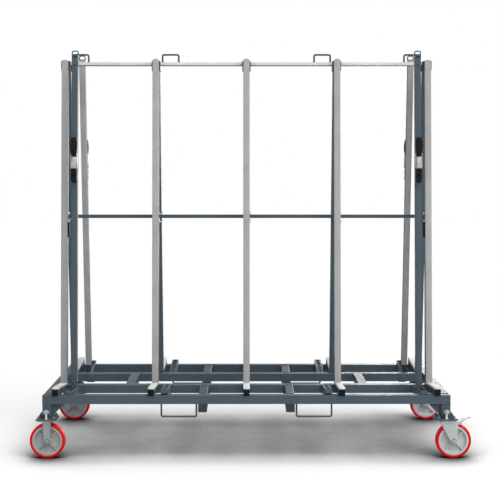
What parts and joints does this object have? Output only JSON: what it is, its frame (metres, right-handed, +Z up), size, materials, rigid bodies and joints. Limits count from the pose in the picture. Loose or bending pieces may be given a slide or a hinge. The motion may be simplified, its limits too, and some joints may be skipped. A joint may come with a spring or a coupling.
{
  "type": "sheet goods cart",
  "caption": "Double-sided A-frame cart for sheet goods: welded base on casters, lined leaning legs and feet, clamp poles with ratchets, keeper loops and fork pockets.",
  "frame": {"origin": "on the floor, below the middle of the bounding box", "axes": "+X along the length towards the swivel casters, +Y from the front side to the rear side, +Z up"},
  "size_m": [2.512, 1.1766, 2.3387],
  "materials": {
    "slate_paint": "satin powder coat",
    "pale_rail": "satin",
    "grey_lining": "matt",
    "zinc": "zinc plated",
    "cast_hub": "grey paint",
    "red_tyre": "satin polyurethane",
    "black_grip": "matt moulded"
  },
  "bodies": {
    "base": {"front_beam": "slate_paint", "rear_beam": "slate_paint", "front_inner_beam": "slate_paint", "rear_inner_beam": "slate_paint", "left_end_frame": "slate_paint", "right_end_frame": "slate_paint", "fork_rail_left": "slate_paint", "fork_rail_right": "slate_paint", "fork_loop_front_left": "slate_paint", "fork_loop_front_right": "slate_paint", "fork_loop_rear_left": "slate_paint", "fork_loop_rear_right": "slate_paint", "a_frame_1": "slate_paint", "a_frame_2": "slate_paint", "a_frame_3": "slate_paint", "a_frame_4": "slate_paint", "a_frame_5": "slate_paint", "lining_front_1": "grey_lining", "lining_front_2": "grey_lining", "lining_front_3": "grey_lining", "lining_front_4": "grey_lining", "lining_front_5": "grey_lining", "lining_rear_1": "grey_lining", "lining_rear_2": "grey_lining", "lining_rear_3": "grey_lining", "lining_rear_4": "grey_lining", "lining_rear_5": "grey_lining", "top_rail_left": "pale_rail", "top_rail_right": "pale_rail", "mid_rail": "slate_paint", "caster_fork_front_left": "zinc", "caster_fork_rear_left": "zinc"},
    "pole_front_left": {"pole_front_left": "slate_paint", "pole_lining_front_left": "grey_lining", "ratchet_body_front_left": "zinc"},
    "handle_front_left": {"ratchet_handle_front_left": "black_grip"},
    "wheel_front_left": {"wheel_hub_front_left": "cast_hub", "wheel_tyre_front_left": "red_tyre"},
    "pole_front_right": {"pole_front_right": "slate_paint", "pole_lining_front_right": "grey_lining", "ratchet_body_front_right": "zinc"},
    "handle_front_right": {"ratchet_handle_front_right": "black_grip"},
    "swivel_front_right": {"caster_fork_front_right": "zinc"},
    "wheel_front_right": {"wheel_hub_front_right": "cast_hub", "wheel_tyre_front_right": "red_tyre"},
    "pedal_front_right": {"brake_pedal_front_right": "zinc"},
    "pole_rear_left": {"pole_rear_left": "slate_paint", "pole_lining_rear_left": "grey_lining", "ratchet_body_rear_left": "zinc"},
    "handle_rear_left": {"ratchet_handle_rear_left": "black_grip"},
    "wheel_rear_left": {"wheel_hub_rear_left": "cast_hub", "wheel_tyre_rear_left": "red_tyre"},
    "pole_rear_right": {"pole_rear_right": "slate_paint", "pole_lining_rear_right": "grey_lining", "ratchet_body_rear_right": "zinc"},
    "handle_rear_right": {"ratchet_handle_rear_right": "black_grip"},
    "swivel_rear_right": {"caster_fork_rear_right": "zinc"},
    "wheel_rear_right": {"wheel_hub_rear_right": "cast_hub", "wheel_tyre_rear_right": "red_tyre"},
    "pedal_rear_right": {"brake_pedal_rear_right": "zinc"}
  },
  "joints": [
    {"name": "pole_slide_front_left", "type": "slide", "parent": "base", "child": "pole_front_left", "axis": [0, -0.9959, 0.0906], "range_m": [0, 0.14]},
    {"name": "ratchet_lever_front_left", "type": "hinge", "parent": "pole_front_left", "child": "handle_front_left", "pos_m": [-1.032, -0.24843, 1.66013], "axis": [1, 0, 0], "range_deg": [0, 120]},
    {"name": "wheel_spin_front_left", "type": "hinge", "parent": "base", "child": "wheel_front_left", "pos_m": [-1.156, -0.525, 0.1], "axis": [0, 1, 0], "continuous": true},
    {"name": "pole_slide_front_right", "type": "slide", "parent": "base", "child": "pole_front_right", "axis": [0, -0.9959, 0.0906], "range_m": [0, 0.14]},
    {"name": "ratchet_lever_front_right", "type": "hinge", "parent": "pole_front_right", "child": "handle_front_right", "pos_m": [0.986, -0.24843, 1.66013], "axis": [1, 0, 0], "range_deg": [0, 120]},
    {"name": "caster_swivel_front_right", "type": "hinge", "parent": "base", "child": "swivel_front_right", "pos_m": [1.11, -0.525, 0.215], "axis": [0, 0, 1], "continuous": true},
    {"name": "wheel_spin_front_right", "type": "hinge", "parent": "swivel_front_right", "child": "wheel_front_right", "pos_m": [1.156, -0.525, 0.1], "axis": [0, 1, 0], "continuous": true},
    {"name": "brake_press_front_right", "type": "hinge", "parent": "swivel_front_right", "child": "pedal_front_right", "pos_m": [1.19, -0.525, 0.207], "axis": [0, 1, 0], "range_deg": [0, 18]},
    {"name": "pole_slide_rear_left", "type": "slide", "parent": "base", "child": "pole_rear_left", "axis": [0, 0.9959, 0.0906], "range_m": [0, 0.14]},
    {"name": "ratchet_lever_rear_left", "type": "hinge", "parent": "pole_rear_left", "child": "handle_rear_left", "pos_m": [-1.032, 0.24843, 1.66013], "axis": [-1, 0, 0], "range_deg": [0, 120]},
    {"name": "wheel_spin_rear_left", "type": "hinge", "parent": "base", "child": "wheel_rear_left", "pos_m": [-1.156, 0.525, 0.1], "axis": [0, 1, 0], "continuous": true},
    {"name": "pole_slide_rear_right", "type": "slide", "parent": "base", "child": "pole_rear_right", "axis": [0, 0.9959, 0.0906], "range_m": [0, 0.14]},
    {"name": "ratchet_lever_rear_right", "type": "hinge", "parent": "pole_rear_right", "child": "handle_rear_right", "pos_m": [0.986, 0.24843, 1.66013], "axis": [-1, 0, 0], "range_deg": [0, 120]},
    {"name": "caster_swivel_rear_right", "type": "hinge", "parent": "base", "child": "swivel_rear_right", "pos_m": [1.11, 0.525, 0.215], "axis": [0, 0, 1], "continuous": true},
    {"name": "wheel_spin_rear_right", "type": "hinge", "parent": "swivel_rear_right", "child": "wheel_rear_right", "pos_m": [1.156, 0.525, 0.1], "axis": [0, 1, 0], "continuous": true},
    {"name": "brake_press_rear_right", "type": "hinge", "parent": "swivel_rear_right", "child": "pedal_rear_right", "pos_m": [1.19, 0.525, 0.207], "axis": [0, 1, 0], "range_deg": [0, 18]}
  ]
}
